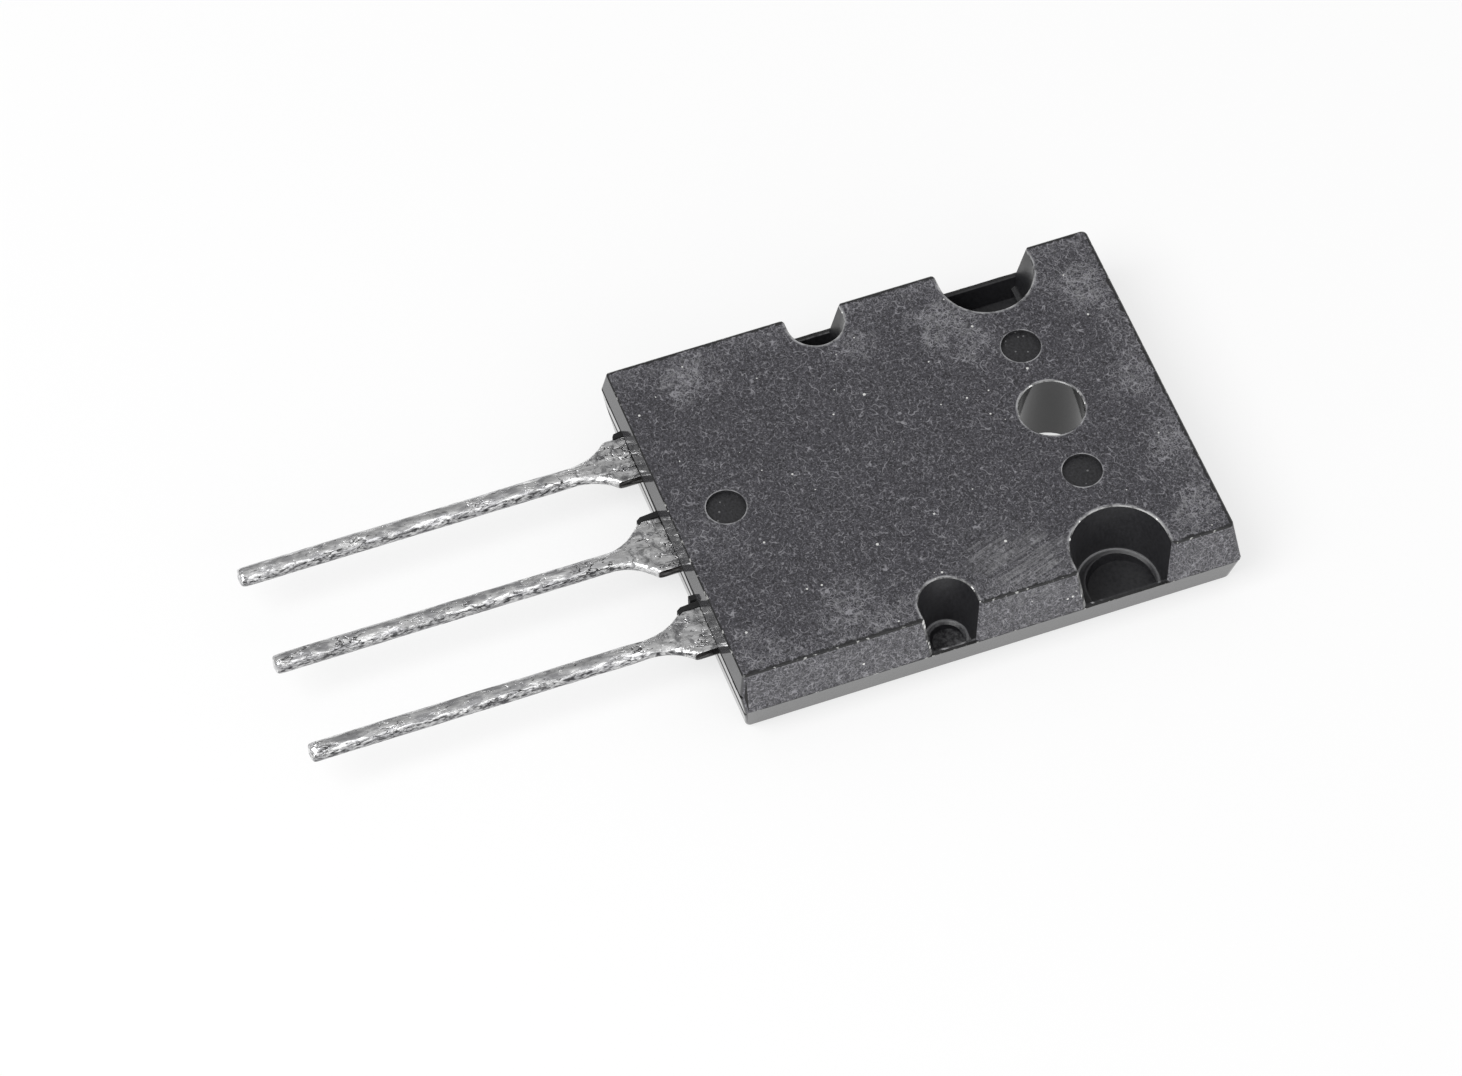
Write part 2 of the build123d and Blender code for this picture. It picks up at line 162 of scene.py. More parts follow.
# Hot-dip tin: bright silver where it ran thin and grey where it froze in lumps, with dark creases, partly
# painted shade, and flux stains between them, all drawn out along the leg by the draining metal.
# A run is about 0.25 mm across and 0.7 mm long.
tin, t, shader = finish("hot_dip_tin", Metallic=1.0)
mm = millimetres(t)
drained = millimetres(t, (1, 0.38, 1))
runs = add(t, "ShaderNodeTexNoise",
           {"Vector": drained, "Scale": 3.8, "Detail": 4.0, "Roughness": 0.5, "Distortion": 0.6})
crust = add(t, "ShaderNodeTexNoise", {"Vector": drained, "Scale": 8.0, "Detail": 3.0})
bright = add(t, "ShaderNodeMapRange", {0: runs, 1: 0.42, 2: 0.58})
silver = add(t, "ShaderNodeMix", {0: bright, 6: linear("C2C2C4"), 7: linear("ECECEC")}, data_type="RGBA")
# towards the body the tin is whiter
whiter_from, whiter_full = body_end - 4.6, body_end - 2.6
along = add(t, "ShaderNodeSeparateXYZ", {0: mm})
whiter_near_body = add(t, "ShaderNodeMapRange", {0: along.outputs["Y"], 1: whiter_from, 2: whiter_full, 4: 0.7})
silver = add(t, "ShaderNodeMix", {0: whiter_near_body, 6: silver, 7: linear("FCFCFC")}, data_type="RGBA")
# creases painted dark, partly as shade in them and partly as flux stain, only where flux has stained the tin,
# and dark spots in the crust
bent = add(t, "ShaderNodeTexNoise", {"Vector": drained, "Scale": 3.0, "Detail": 2.0})
bent = add(t, "ShaderNodeVectorMath", {0: bent.outputs["Color"], 1: (0.9, 0.9, 0.9), 2: drained},
           operation="MULTIPLY_ADD")
crease = add(t, "ShaderNodeTexVoronoi", {"Vector": bent, "Scale": 2.1}, feature="DISTANCE_TO_EDGE")
crease = add(t, "ShaderNodeMapRange", {0: crease, 1: 0.07, 2: 0.01})
flux = add(t, "ShaderNodeTexNoise", {"Vector": drained, "Scale": 1.3, "Detail": 6.0, "Roughness": 0.7})
stain = add(t, "ShaderNodeMapRange", {0: flux, 1: 0.5, 2: 0.64}, interpolation_type="SMOOTHSTEP")
crease = add(t, "ShaderNodeMath", {0: crease, 1: stain}, operation="MULTIPLY")
silver = add(t, "ShaderNodeMix", {0: crease, 6: silver, 7: linear("353436")}, data_type="RGBA")
spot = add(t, "ShaderNodeMapRange", {0: crust, 1: 0.63, 2: 0.7, 4: 0.8})
silver = add(t, "ShaderNodeMix", {0: spot, 6: silver, 7: linear("4A494B")}, data_type="RGBA")
# flux and bled resin cloud the shoulders in grey patches
cloud_from, cloud_full = body_end - 3.2, body_end - 2.0
root = add(t, "ShaderNodeMapRange", {0: along.outputs["Y"], 1: cloud_from, 2: cloud_full})
cloud = add(t, "ShaderNodeTexNoise",
            {"Vector": mm, "Scale": 1.7, "Detail": 5.0, "Roughness": 0.7, "Distortion": 1.0})
cloud = add(t, "ShaderNodeMapRange", {0: cloud, 1: 0.49, 2: 0.6, 4: 0.7})
cloud = add(t, "ShaderNodeMath", {0: cloud, 1: root}, operation="MULTIPLY")
silver = add(t, "ShaderNodeMix", {0: cloud, 6: silver, 7: linear("66666A")}, data_type="RGBA")
# bare cut sides of the shoulders
facing = add(t, "ShaderNodeSeparateXYZ", {0: add(t, "ShaderNodeNewGeometry").outputs["True Normal"]})
sideways = add(t, "ShaderNodeMath", {0: facing.outputs["X"]}, operation="ABSOLUTE")
sideways = add(t, "ShaderNodeMapRange", {0: sideways, 1: 0.66, 2: 0.88})
near = add(t, "ShaderNodeMapRange", {0: along.outputs["Y"], 1: cut_end - 0.1, 2: cut_end})
cut = add(t, "ShaderNodeMath", {0: sideways, 1: near}, operation="MULTIPLY")
silver = add(t, "ShaderNodeMix", {0: cut, 6: silver, 7: linear("2C2A2A")}, data_type="RGBA")
# the sheared sides of the legs are greyer, with bright bits
flank = add(t, "ShaderNodeMapRange", {0: crust, 1: 0.4, 2: 0.56, 3: 1.0, 4: 0.3})
flank = add(t, "ShaderNodeMath", {0: flank, 1: sideways}, operation="MULTIPLY")
below = add(t, "ShaderNodeMath", {0: 1.0, 1: near}, operation="SUBTRACT")
flank = add(t, "ShaderNodeMath", {0: flank, 1: below}, operation="MULTIPLY")
silver = add(t, "ShaderNodeMix", {0: flank, 6: silver, 7: linear("464648")}, data_type="RGBA")
# relief: runs, sunk creases, a little crust and wide swells
dull = add(t, "ShaderNodeMapRange", {0: crust, 1: 0.35, 2: 0.65, 3: 0.12, 4: 0.3})
relief = add(t, "ShaderNodeMath", {0: runs, 1: crease}, operation="SUBTRACT")
fine = add(t, "ShaderNodeMath", {0: crust, 1: 0.12}, operation="MULTIPLY")
relief = add(t, "ShaderNodeMath", {0: relief, 1: fine}, operation="ADD")
swell = add(t, "ShaderNodeTexNoise", {"Vector": drained, "Scale": 2.2, "Detail": 1.0})
relief = add(t, "ShaderNodeMath", {0: swell, 1: 4.0, 2: relief}, operation="MULTIPLY_ADD")
surface(t, shader, silver, dull, relief, 0.05)


def geometry_tree(name, inputs, output):
    """An empty Geometry Nodes tree with named inputs and one geometry output."""
    tree = bpy.data.node_groups.new(name, "GeometryNodeTree")
    for label, kind in inputs:
        tree.interface.new_socket(label, in_out="INPUT", socket_type="NodeSocket" + kind)
    tree.interface.new_socket(output, in_out="OUTPUT", socket_type="NodeSocketGeometry")
    return tree


# The tin's own shape: surface tension rounds the leg's edges away from the shoulder and draws
# the tin up into a crown on the two wide faces; then lumps stand out along the surface, longer
# than they are wide. The tree works in millimetres.
numbers = ("Lump Height", "Lump Width", "Crown Height", "Leg Centre", "Body End", "Leg End", "Seed")
inputs = [("Lead", "Geometry"), ("Rounding Steps", "Int"), *((label, "Float") for label in numbers),
          ("Tin", "Material")]
skin = geometry_tree("tin_skin", inputs, "Lead")
given = add(skin, "NodeGroupInput").outputs
place = add(skin, "GeometryNodeInputPosition")
x, y = add(skin, "ShaderNodeSeparateXYZ", {0: place}).outputs[:2]
# the blur that rounds the edges starts past the shoulder and all but stops at the tip
gap = add(skin, "ShaderNodeMath", {0: given["Body End"], 1: y}, operation="SUBTRACT")
leg = add(skin, "ShaderNodeMapRange", {0: gap, 1: shoulder, 2: 2 * shoulder}, interpolation_type="SMOOTHSTEP")
tip = add(skin, "ShaderNodeMath", {0: y, 1: given["Leg End"]}, operation="SUBTRACT")
tip = add(skin, "ShaderNodeMapRange", {0: tip, 1: 0.02, 2: 0.3, 3: 0.12})
soft = add(skin, "ShaderNodeMath", {0: leg, 1: tip}, operation="MULTIPLY")
links = {0: place, 1: given["Rounding Steps"], 2: soft}
drawn_in = add(skin, "GeometryNodeBlurAttribute", links, data_type="FLOAT_VECTOR")
rounded = add(skin, "GeometryNodeSetPosition", {"Geometry": given["Lead"], "Position": drawn_in})
# lumps, which fade out towards the body
drawn = add(skin, "ShaderNodeVectorMath", {0: place, 1: (1, 0.3, 1)}, operation="MULTIPLY")
per_mm = add(skin, "ShaderNodeMath", {0: 1.0, 1: given["Lump Width"]}, operation="DIVIDE")
links = {"Vector": drawn, "W": given["Seed"], "Scale": per_mm, "Detail": 2.5, "Roughness": 0.6}
lump = add(skin, "ShaderNodeTexNoise", links, noise_dimensions="4D")
lump = add(skin, "ShaderNodeMath", {0: lump, 1: 0.32}, operation="SUBTRACT")
lump = add(skin, "ShaderNodeMath", {0: lump, 1: given["Lump Height"]}, operation="MULTIPLY")
fade = add(skin, "ShaderNodeMapRange", {0: gap, 1: 0.4, 2: 2 * shoulder}, interpolation_type="SMOOTHSTEP")
lump = add(skin, "ShaderNodeMath", {0: lump, 1: fade}, operation="MULTIPLY")
# the crown falls off with the square of the distance from the leg's middle, to nothing at 0.45 mm
outward = add(skin, "GeometryNodeInputNormal")
across = add(skin, "ShaderNodeMath", {0: x, 1: given["Leg Centre"]}, operation="SUBTRACT")
across = add(skin, "ShaderNodeMath", {0: across, 1: 2.0}, operation="POWER")
crown = add(skin, "ShaderNodeMapRange", {0: across, 2: 0.2, 3: given["Crown Height"], 4: 0.0})
crown_fade = add(skin, "ShaderNodeMapRange", {0: gap, 1: 1.8, 2: 4.5}, interpolation_type="SMOOTHSTEP")
crown = add(skin, "ShaderNodeMath", {0: crown, 1: crown_fade}, operation="MULTIPLY")
facing = add(skin, "ShaderNodeSeparateXYZ", {0: outward}).outputs["Z"]
facing = add(skin, "ShaderNodeMath", {0: facing}, operation="ABSOLUTE")
coat = add(skin, "ShaderNodeMath", {0: crown, 1: facing, 2: lump}, operation="MULTIPLY_ADD")
push = add(skin, "ShaderNodeVectorMath", {0: outward, 3: coat}, operation="SCALE")
moved = add(skin, "GeometryNodeSetPosition", {"Geometry": rounded, "Offset": push})
whole = add(skin, "GeometryNodeRealizeInstances", {0: moved})
coated = add(skin, "GeometryNodeSetMaterial", {"Geometry": whole, "Material": given["Tin"]})
add(skin, "NodeGroupOutput", {"Lead": coated})


def merged_copy(node, scale=1.0):
    """A copy of a CAD node's mesh with its loose triangles joined."""
    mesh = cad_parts[node].data.copy()
    bm = bmesh.new()
    bm.from_mesh(mesh)
    bmesh.ops.remove_doubles(bm, verts=bm.verts, dist=1e-7)
    bmesh.ops.scale(bm, vec=(scale, scale, scale), verts=bm.verts)
    bm.to_mesh(mesh)
    bm.free()
    if "custom_normal" in mesh.attributes:
        mesh.attributes.remove(mesh.attributes["custom_normal"])
    mesh.materials.clear()
    return mesh


def set_inputs(modifier, **values):
    """Sets a node modifier's inputs by their sockets' identifiers."""
    for item in modifier.node_group.interface.items_tree:
        key = item.name.replace(" ", "_")
        if item.in_out == "INPUT" and key in values:
            modifier[item.identifier] = values[key]


def settle(piece, scale=1.0):
    """Takes the finished shape off the modifiers and puts it in the mesh, in metres."""
    graph = bpy.context.evaluated_depsgraph_get()
    mesh = bpy.data.meshes.new_from_object(piece.evaluated_get(graph))
    mesh.transform(Matrix.Scale(scale, 4))
    piece.modifiers.clear()
    piece.data = mesh


for number, node in enumerate(("base_lead", "collector_lead", "emitter_lead")):
    lead = bpy.data.objects.new("tinned_" + node, merged_copy(node, 1000))
    bpy.context.scene.collection.objects.link(lead)
    fine_mesh = lead.modifiers.new("even mesh", "REMESH")
    fine_mesh.mode = "VOXEL"
    fine_mesh.voxel_size = 0.055
    fine_mesh.use_smooth_shade = True
    tinned = lead.modifiers.new("tin", "NODES")
    tinned.node_group = skin
    centre = (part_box(node)[0].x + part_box(node)[1].x) / 2 * 1000
    set_inputs(tinned, Rounding_Steps=40, Lump_Height=0.085, Lump_Width=0.8, Crown_Height=0.17,
               Leg_Centre=centre, Body_End=body_end, Leg_End=leg_end, Seed=3.1 * number + 1, Tin=tin)
    settle(lead, 0.001)
    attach(lead, "root")
    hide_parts(node)

# ---------------------------------------------------------------------------
# Bond wires: three soft aluminium wires pressed cold on to the chip and the
# pads of the base and emitter leads. Two thicker ones carry the emitter current.
# ---------------------------------------------------------------------------

# Drawn aluminium wire: bright, with fine draw marks along it, 0.07 mm apart.
aluminium, t, shader = finish("drawn_aluminium_wire", Metallic=1.0)
draw = add(t, "ShaderNodeTexNoise", {"Vector": millimetres(t, (14, 1, 14)), "Scale": 1.0, "Detail": 3.0})
pale = add(t, "ShaderNodeMix", {0: draw, 6: linear("BFC0C2"), 7: linear("E2E3E4")}, data_type="RGBA")
dull = add(t, "ShaderNodeMapRange", {0: draw, 3: 0.2, 4: 0.4})
surface(t, shader, pale, dull, draw, 0.006)
for node in ("base_bond_wire", "emitter_bond_wire_1", "emitter_bond_wire_2"):
    dress(node, aluminium)

# ---------------------------------------------------------------------------
# Moulded body: black epoxy moulding compound, transfer-moulded round the lead
# frame. The upper half of the tool is spark-eroded, so the face and the upper
# sides are matt; the lower half, the lead end, notches and pin marks are polished.
# ---------------------------------------------------------------------------
side_x, tab_end_y, face_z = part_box("moulded_body")[1] * 1000     # long side, hole end, marked face, mm
face_half_width, face_tab_end = side_x - 0.45, tab_end_y - 0.38  # where the flat of the face ends
parting_z, seam_z = 2.3, 3.4                # where the tool parts on the long sides, and at the lead end
lower_lean, upper_lean = 0.75, 0.2          # draft: mm in at the back; mm in for each mm above the parting
big_notch = (side_x - 1.2, 0.0, 2.45)       # centre x, centre y, radius
small_notch = (side_x - 1.1, -9.02, 1.45)
pin_marks = ((-4.05, 0.0), (4.05, 0.0), (0.0, -17.07))
mark_r, mark_depth = 1.0, 0.25
hole_r, hole_flare = 1.65, 0.35             # the screw hole's radius, and how much it widens at the back


def epoxy(name, dark, light, smooth, rough, grain_mm):
    """Moulding compound: black resin with pale silica in it, mottled at the size of the grain."""
    material, t, shader = finish(name, IOR=1.55)
    mm = millimetres(t)
    links = {"Vector": mm, "Scale": 1 / grain_mm, "Detail": 4.0, "Roughness": 0.7}
    grain = add(t, "ShaderNodeTexNoise", links)
    cloud = add(t, "ShaderNodeTexNoise", {"Vector": mm, "Scale": 0.45, "Detail": 6.0, "Roughness": 0.6})
    tone = add(t, "ShaderNodeMapRange", {0: grain, 1: 0.32, 2: 0.68})
    colour = add(t, "ShaderNodeMix", {0: tone, 6: linear(dark), 7: linear(light)}, data_type="RGBA")
    dull = add(t, "ShaderNodeMapRange", {0: cloud, 1: 0.3, 2: 0.7, 3: smooth, 4: rough})
    return material, t, shader, mm, grain, colour, dull


def specks(t, mm, per_mm, share, size_mm):
    """Round specks: a share of the cells of a random grid hold one, each of its own size."""
    seed = add(t, "ShaderNodeTexVoronoi", {"Vector": mm, "Scale": per_mm})
    lot = add(t, "ShaderNodeSeparateColor", {0: seed.outputs["Color"]})
    size = add(t, "ShaderNodeMapRange", {0: lot.outputs["Red"], 1: 1 - share, 4: size_mm * per_mm})
    return add(t, "ShaderNodeMath", {0: seed.outputs["Distance"], 1: size}, operation="LESS_THAN")


def near_point(t, mm, x, y, inner, outer, strength=1.0):
    """Full strength within a distance of a point on the face, fading to nothing further out."""
    away = add(t, "ShaderNodeVectorMath", {0: mm, 1: (x, y, face_z)}, operation="DISTANCE")
    links = {0: away.outputs["Value"], 1: outer, 2: inner, 4: strength}
    return add(t, "ShaderNodeMapRange", links, interpolation_type="SMOOTHSTEP")


def largest(t, masks):
    """The largest of several masks at each place."""
    out = masks[0]
    for mask in masks[1:]:
        out = add(t, "ShaderNodeMath", {0: out, 1: mask}, operation="MAXIMUM")
    return out


# Eroded face: charcoal with a fine grain, short pale curled scratches all over, pale silica
# specks, and chalky rubbed places where the part has slid about in its tube. Grain is drawn
# at 0.14 mm, coarser than the real 0.05 mm, so that it shows.
eroded, t, shader, mm, grain, colour, dull = epoxy("eroded_black_epoxy", "0F0E12", "47464C", 0.45, 0.62, 0.14)
# how far in from the face's long edges and its hole end
at = add(t, "ShaderNodeSeparateXYZ", {0: mm})
wide = add(t, "ShaderNodeMath", {0: at.outputs["X"]}, operation="ABSOLUTE")
wide = add(t, "ShaderNodeMath", {0: face_half_width, 1: wide}, operation="SUBTRACT")
long = add(t, "ShaderNodeMath", {0: face_tab_end, 1: at.outputs["Y"]}, operation="SUBTRACT")
inwards = add(t, "ShaderNodeMath", {0: wide, 1: long}, operation="MINIMUM")
# chalky places: where each is, how far it reaches and how strong it is; noise warps their outlines
chalky = ((-7.9, -16.2, 2.0, 0.8), (-6.8, -7.6, 1.6, 0.6), (-6.6, -3.2, 2.2, 0.9), (-4.9, -2.1, 1.4, 0.6),
          (-6.8, 4.1, 2.2, 1.0), (-5.3, 4.7, 1.4, 0.7), (-0.4, 4.6, 2.2, 0.6), (3.9, 4.9, 2.4, 0.8),
          (7.8, 4.9, 2.0, 1.0), (8.9, 3.7, 1.2, 0.9), (7.8, -13.6, 2.4, 0.6), (9.0, -12.0, 1.6, 0.9),
          (8.5, -10.4, 1.2, 0.6), (8.7, -18.6, 2.0, 0.6), (-8.9, 1.5, 2.0, 0.7), (1.5, -18.9, 2.2, 0.3))
warp = add(t, "ShaderNodeTexNoise", {"Vector": mm, "Scale": 0.9, "Detail": 4.0, "Roughness": 0.65})
warp = add(t, "ShaderNodeVectorMath", {0: warp.outputs["Color"], 1: (0.5, 0.5, 0.5)}, operation="SUBTRACT")
bent = add(t, "ShaderNodeVectorMath", {0: warp, 1: (5.0, 5.0, 0.0), 2: mm}, operation="MULTIPLY_ADD")
chalk = [near_point(t, bent, x, y, 0.1 * reach, reach, strength) for x, y, reach, strength in chalky]
chalk.append(add(t, "ShaderNodeMapRange", {0: inwards, 1: 1.8, 2: 0.2, 4: 0.35}))
chalk = largest(t, chalk)
# curled scratches of three sizes, thickest in the chalk: curls to a millimetre, a shift that keeps
# the sizes from lining up, how wide a line is drawn, and its colour
curls = ((1.6, 13.0, 0.02, "97969B"), (3.6, 0.0, 0.035, "8E8D92"), (6.4, 7.0, 0.05, "85848A"))
for per_mm, offset, width, tone in curls:
    moved = add(t, "ShaderNodeVectorMath", {0: mm, 1: (offset, offset, 0)}, operation="ADD")
    curl = add(t, "ShaderNodeTexNoise", {"Vector": moved, "Scale": per_mm, "Detail": 1.5})
    curl = add(t, "ShaderNodeMath", {0: curl, 1: 0.5}, operation="SUBTRACT")
    curl = add(t, "ShaderNodeMath", {0: curl}, operation="ABSOLUTE")
    curl = add(t, "ShaderNodeMapRange", {0: curl, 1: width, 2: 0.2 * width})
    short = add(t, "ShaderNodeTexNoise", {"Vector": moved, "Scale": 1.5 * per_mm, "Detail": 2.0})
    short = add(t, "ShaderNodeMath", {0: chalk, 1: 0.24, 2: short}, operation="MULTIPLY_ADD")
    short = add(t, "ShaderNodeMapRange", {0: short, 1: 0.45, 2: 0.66, 4: 0.75})
    curl = add(t, "ShaderNodeMath", {0: curl, 1: short}, operation="MULTIPLY")
    colour = add(t, "ShaderNodeMix", {0: curl, 6: colour, 7: linear(tone)}, data_type="RGBA")
rub = add(t, "ShaderNodeTexNoise", {"Vector": mm, "Scale": 4.5, "Detail": 5.0, "Roughness": 0.75})
rub = add(t, "ShaderNodeMapRange", {0: rub, 1: 0.47, 2: 0.62, 4: 0.75})
chalk = add(t, "ShaderNodeMath", {0: chalk, 1: rub}, operation="MULTIPLY")
# parallel rub marks beside the notches of the emitter side, 18 degrees off the length of the body
turned = add(t, "ShaderNodeMapping", {"Vector": mm, "Rotation": (0, 0, -0.32)})
turned = add(t, "ShaderNodeVectorMath", {0: turned, 1: (7.5, 0.3, 1)}, operation="MULTIPLY")
streak = add(t, "ShaderNodeTexNoise", {"Vector": turned, "Scale": 1.0, "Detail": 4.0, "Roughness": 0.65})
streak = add(t, "ShaderNodeMapRange", {0: streak, 1: 0.42, 2: 0.6})
beside = [near_point(t, bent, 8.5, -4.7, 0.6, 3.0, 0.8), near_point(t, bent, 7.4, -6.0, 0.2, 2.6, 0.55)]
streak = add(t, "ShaderNodeMath", {0: streak, 1: largest(t, beside)}, operation="MULTIPLY")
grit = add(t, "ShaderNodeMapRange", {0: grain, 1: 0.35, 2: 0.6, 3: 0.4})
streak = add(t, "ShaderNodeMath", {0: streak, 1: grit}, operation="MULTIPLY")
chalk = add(t, "ShaderNodeMath", {0: chalk, 1: streak}, operation="MAXIMUM")
colour = add(t, "ShaderNodeMix", {0: chalk, 6: colour, 7: linear("868688")}, data_type="RGBA")
# pale rings round the screw hole, pin marks and notches, broken here and there: partly burnish, partly a
# painted highlight of the eased edges
highlight_rings = [near_point(t, mm, 0, 0, hole_r + 0.05, hole_r + 0.15)]
highlight_rings += [near_point(t, mm, x, y, mark_r + 0.02, mark_r + 0.08, 0.8) for x, y in pin_marks]
for cx, cy, r in (big_notch, small_notch):
    past = add(t, "ShaderNodeMath", {0: at.outputs["X"]}, operation="ABSOLUTE")
    past = add(t, "ShaderNodeMath", {0: past, 1: cx}, operation="SUBTRACT")
    past = add(t, "ShaderNodeMath", {0: past, 1: 0.0}, operation="MINIMUM")
    beyond = add(t, "ShaderNodeMath", {0: at.outputs["Y"], 1: cy}, operation="SUBTRACT")
    reach = add(t, "ShaderNodeVectorMath", {0: add(t, "ShaderNodeCombineXYZ", {0: past, 1: beyond})},
                operation="LENGTH")
    highlight_rings.append(add(t, "ShaderNodeMapRange", {0: reach.outputs["Value"], 1: r + 0.17, 2: r + 0.06}))
flat = add(t, "ShaderNodeMath", {0: at.outputs["Z"], 1: face_z - 0.01}, operation="GREATER_THAN")
broken = add(t, "ShaderNodeTexNoise", {"Vector": mm, "Scale": 1.5, "Detail": 4.0})
broken = add(t, "ShaderNodeMapRange", {0: broken, 1: 0.4, 2: 0.58, 3: 0.15, 4: 0.95})
ring = add(t, "ShaderNodeMath", {0: largest(t, highlight_rings), 1: broken}, operation="MULTIPLY")
ring = add(t, "ShaderNodeMath", {0: ring, 1: flat}, operation="MULTIPLY")
colour = add(t, "ShaderNodeMix", {0: ring, 6: colour, 7: linear("A8A8AA")}, data_type="RGBA")
# black wear line along the long edges and the hole end, where the skin has gone
ragged = add(t, "ShaderNodeTexNoise", {"Vector": mm, "Scale": 2.2, "Detail": 5.0, "Roughness": 0.7})
reach = add(t, "ShaderNodeMapRange", {0: ragged, 1: 0.35, 2: 0.62, 3: 0.1, 4: 0.28})
worn = add(t, "ShaderNodeMath", {0: reach, 1: inwards}, operation="SUBTRACT")
worn = add(t, "ShaderNodeMapRange", {0: worn, 1: 0.0, 2: 0.06, 4: 0.92})
worn = add(t, "ShaderNodeMath", {0: worn, 1: flat}, operation="MULTIPLY")
colour = add(t, "ShaderNodeMix", {0: worn, 6: colour, 7: linear("101011")}, data_type="RGBA")
# pale silica specks
bright = specks(t, mm, 1.5, 0.35, 0.075)
colour = add(t, "ShaderNodeMix", {0: bright, 6: colour, 7: linear("D0D0CE")}, data_type="RGBA")
surface(t, shader, colour, dull, grain, 0.02)

# Polished resin: near black and smooth, so that it mirrors what is bright round it at a low
# angle; only a faint flow cloud and a very slight orange peel.
polished, t, shader, mm, grain, colour, dull = epoxy(
    "polished_black_epoxy", "1C1C1D", "2D2D2E", 0.05, 0.12, 0.3)
# on the lead end only, the lines where the tool shuts off are dull and black, the one at the seam as painted
# shade of the open seam: height of each line's middle, half its width and its strength; the strip above the
# seam is painted a little greyer, as a painted reflection
at = add(t, "ShaderNodeSeparateXYZ", {0: mm})
band = add(t, "ShaderNodeMapRange", {0: at.outputs["Y"], 1: body_end + 0.3, 2: body_end + 0.25})
for z, half, strength in ((seam_z + 0.02, 0.11, 1.0), (1.7, 0.4, 0.9)):
    off = add(t, "ShaderNodeMath", {0: at.outputs["Z"], 1: z}, operation="SUBTRACT")
    off = add(t, "ShaderNodeMath", {0: off}, operation="ABSOLUTE")
    line = add(t, "ShaderNodeMapRange", {0: off, 1: half + 0.02, 2: half - 0.02, 4: strength})
    line = add(t, "ShaderNodeMath", {0: line, 1: band}, operation="MULTIPLY")
    colour = add(t, "ShaderNodeMix", {0: line, 6: colour, 7: linear("050505")}, data_type="RGBA")
    dull = add(t, "ShaderNodeMix", {0: line, 2: dull, 3: 0.9}, data_type="FLOAT")
# painted reflection: the strip above the seam is greyer
upper = add(t, "ShaderNodeMapRange", {0: at.outputs["Z"], 1: seam_z + 0.12, 2: seam_z + 0.16})
upper = add(t, "ShaderNodeMath", {0: upper, 1: band}, operation="MULTIPLY")
colour = add(t, "ShaderNodeMix", {0: upper, 6: colour, 7: linear("404042")}, data_type="RGBA")
surface(t, shader, colour, dull, grain, 0.003)

# The open seam and vent pits of the lead end, and the torn fins of resin beside the leads: jet black and
# matt, so they mirror nothing; in the seam and the pits the black is painted shade.
torn_and_shaded, t, shader, mm, grain, colour, dull = epoxy("torn_black_epoxy", "060607", "141415", 0.6, 0.8, 0.15)
surface(t, shader, colour, dull, grain, 0.02)

# Resin in the notches: satin and blacker than the face, with paler mottle on the surfaces that face up,
# most of all in the small ones.
deep, t, shader, mm, grain, colour, dull = epoxy("notch_black_epoxy", "1A1A1C", "2E2E31", 0.34, 0.5, 0.16)
at = add(t, "ShaderNodeSeparateXYZ", {0: mm})
level = add(t, "ShaderNodeNewGeometry").outputs["Normal"]
level = add(t, "ShaderNodeSeparateXYZ", {0: level}).outputs["Z"]
level = add(t, "ShaderNodeMapRange", {0: level, 1: 0.7, 2: 0.9})
mottle = add(t, "ShaderNodeTexNoise", {"Vector": mm, "Scale": 5.0, "Detail": 5.0, "Roughness": 0.7})
mottle = add(t, "ShaderNodeMapRange", {0: mottle, 1: 0.42, 2: 0.6})
mottle = add(t, "ShaderNodeMath", {0: level, 1: mottle}, operation="MULTIPLY")
in_small = add(t, "ShaderNodeMapRange", {0: at.outputs["Y"], 1: small_notch[1] + 3, 2: small_notch[1] + 2})
floor_tone = add(t, "ShaderNodeMix", {0: in_small, 6: linear("303032"), 7: linear("5E5E60")}, data_type="RGBA")
colour = add(t, "ShaderNodeMix", {0: mottle, 6: colour, 7: floor_tone}, data_type="RGBA")
# on the emitter side a thin pale line is painted as a highlight on the sloped ledge at the foot of a notch's
# wall, brightest towards the leads, and a much fainter one on the edge of the well inside it; a
# well's middle is a little nearer the hole end than its notch's
big_foot_r, big_well_r, big_well_shift = 2.02, 1.83, 0.24
small_foot_r, small_well_r, small_well_shift = 1.03, 0.95, 0.1
plan = add(t, "ShaderNodeCombineXYZ", {0: at.outputs["X"], 1: at.outputs["Y"]})
on_ledge = add(t, "ShaderNodeMapRange", {0: at.outputs["Z"], 1: 1.5, 2: 1.6})
ledge_highlights = ((*big_notch[:2], big_foot_r, 1.0),
         (*small_notch[:2], small_foot_r, 1.0),
         (big_notch[0], big_notch[1] + big_well_shift, big_well_r, 0.15),
         (small_notch[0], small_notch[1] + small_well_shift, small_well_r, 0.15))
for x, y, r, strength in ledge_highlights:
    off = add(t, "ShaderNodeVectorMath", {0: plan, 1: (x, y, 0)}, operation="DISTANCE")
    off = add(t, "ShaderNodeMath", {0: off.outputs["Value"], 1: r}, operation="SUBTRACT")
    off = add(t, "ShaderNodeMath", {0: off}, operation="ABSOLUTE")
    line = add(t, "ShaderNodeMapRange", {0: off, 1: 0.08, 2: 0.03, 4: strength})
    leadward = add(t, "ShaderNodeMapRange", {0: at.outputs["Y"], 1: y + 0.7 * r, 2: y - 0.3 * r, 3: 0.35})
    line = add(t, "ShaderNodeMath", {0: line, 1: leadward}, operation="MULTIPLY")
    line = add(t, "ShaderNodeMath", {0: line, 1: on_ledge}, operation="MULTIPLY")
    line = add(t, "ShaderNodeMath", {0: line, 1: level}, operation="MULTIPLY")
    colour = add(t, "ShaderNodeMix", {0: line, 6: colour, 7: linear("9A9A9C")}, data_type="RGBA")
surface(t, shader, colour, dull, grain, 0.004)

